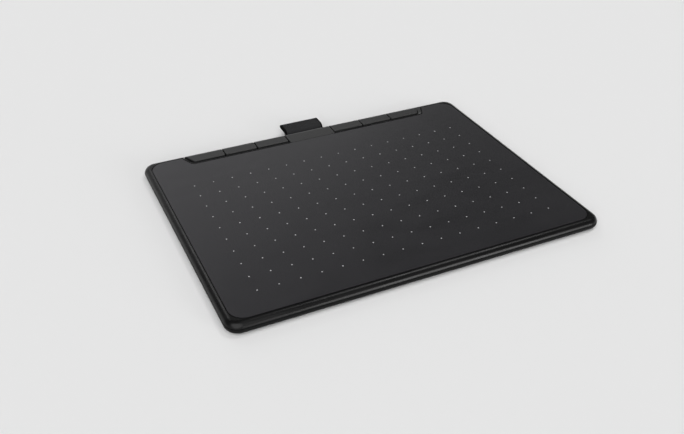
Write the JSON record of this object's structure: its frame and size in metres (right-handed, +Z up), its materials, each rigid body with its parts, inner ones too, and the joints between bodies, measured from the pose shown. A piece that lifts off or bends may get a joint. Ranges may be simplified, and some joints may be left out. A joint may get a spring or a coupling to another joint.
{
  "type": "graphics tablet",
  "caption": "Slim pen tablet: flat matt drawing surface with a dot grid in a rounded case, press keys along the back edge and a short webbing pen loop behind a plain block.",
  "frame": {"origin": "on the table, below the middle of the box that holds the tablet with its pen loop", "axes": "+X to the right of the person who draws, +Y away from them towards the keys and the loop, +Z up out of the drawing surface"},
  "size_m": [0.2592, 0.209, 0.0087],
  "materials": {
    "case": "fine satin, rounded rim",
    "case_base": "fine texture",
    "surface": "matt film with a printed grid of pale dots",
    "key_cap": "satin",
    "adhesive": "transfer tape",
    "board": "green solder mask",
    "shield": "rolled sheet",
    "foam": "open foam strip",
    "chip": "moulded epoxy",
    "ceramic": "ceramic",
    "can": "plated can",
    "connector": "moulded nylon",
    "flex": "polyimide film",
    "steel": "bright stamped steel",
    "screw_steel": "black oxide",
    "plunger": "moulded nylon",
    "webbing": "woven nylon webbing",
    "foot_rubber": "matt rubber"
  },
  "bodies": {
    "tablet": {"board_screws": "screw_steel", "bottom_cover": "case_base", "case_screw_1": "screw_steel", "case_screw_2": "screw_steel", "case_screw_3": "screw_steel", "case_screw_4": "screw_steel", "case_screw_5": "screw_steel", "case_screw_6": "screw_steel", "case_screw_7": "screw_steel", "case_screw_8": "screw_steel", "centre_block": "key_cap", "controller_chip": "chip", "crystal": "can", "drawing_surface": "surface", "flex_connector": "connector", "foam_pads": "foam", "foot_back_left": "foot_rubber", "foot_back_right": "foot_rubber", "foot_front_left": "foot_rubber", "foot_front_right": "foot_rubber", "loop_clamp": "steel", "loop_clamp_screws": "screw_steel", "loop_root": "webbing", "main_board": "board", "multiplexer_chips": "chip", "sensor_adhesive": "adhesive", "sensor_board": "board", "sensor_flex": "flex", "shield_sheet": "shield", "small_components": "ceramic", "surface_adhesive": "adhesive", "switch_body_1": "chip", "switch_body_2": "chip", "switch_body_3": "chip", "switch_body_4": "chip", "switch_body_5": "chip", "switch_body_6": "chip", "switch_dome_1": "steel", "switch_dome_2": "steel", "switch_dome_3": "steel", "switch_dome_4": "steel", "switch_dome_5": "steel", "switch_dome_6": "steel", "top_cover": "case", "usb_shell": "steel", "usb_tongue": "connector"},
    "key_1": {"key_1": "key_cap", "switch_plunger_1": "plunger"},
    "key_2": {"key_2": "key_cap", "switch_plunger_2": "plunger"},
    "key_3": {"key_3": "key_cap", "switch_plunger_3": "plunger"},
    "key_4": {"key_4": "key_cap", "switch_plunger_4": "plunger"},
    "key_5": {"key_5": "key_cap", "switch_plunger_5": "plunger"},
    "key_6": {"key_6": "key_cap", "switch_plunger_6": "plunger"},
    "loop": {"pen_loop": "webbing"}
  },
  "joints": [
    {"name": "key_1_press", "type": "slide", "parent": "tablet", "child": "key_1", "axis": [0, 0, -1], "range_m": [0, 0.00025], "stiffness_N_per_m": 4000, "springref_m": -0.0001, "deforming": ["switch_dome_1"]},
    {"name": "key_2_press", "type": "slide", "parent": "tablet", "child": "key_2", "axis": [0, 0, -1], "range_m": [0, 0.00025], "stiffness_N_per_m": 4000, "springref_m": -0.0001, "deforming": ["switch_dome_2"]},
    {"name": "key_3_press", "type": "slide", "parent": "tablet", "child": "key_3", "axis": [0, 0, -1], "range_m": [0, 0.00025], "stiffness_N_per_m": 4000, "springref_m": -0.0001, "deforming": ["switch_dome_3"]},
    {"name": "key_4_press", "type": "slide", "parent": "tablet", "child": "key_4", "axis": [0, 0, -1], "range_m": [0, 0.00025], "stiffness_N_per_m": 4000, "springref_m": -0.0001, "deforming": ["switch_dome_4"]},
    {"name": "key_5_press", "type": "slide", "parent": "tablet", "child": "key_5", "axis": [0, 0, -1], "range_m": [0, 0.00025], "stiffness_N_per_m": 4000, "springref_m": -0.0001, "deforming": ["switch_dome_5"]},
    {"name": "key_6_press", "type": "slide", "parent": "tablet", "child": "key_6", "axis": [0, 0, -1], "range_m": [0, 0.00025], "stiffness_N_per_m": 4000, "springref_m": -0.0001, "deforming": ["switch_dome_6"]},
    {"name": "pen_loop_flex", "type": "hinge", "parent": "tablet", "child": "loop", "pos_m": [0, 0.08945, 0.0038], "axis": [1, 0, 0], "range_deg": [-4, 30], "stiffness_Nm_per_rad": 0.01}
  ]
}
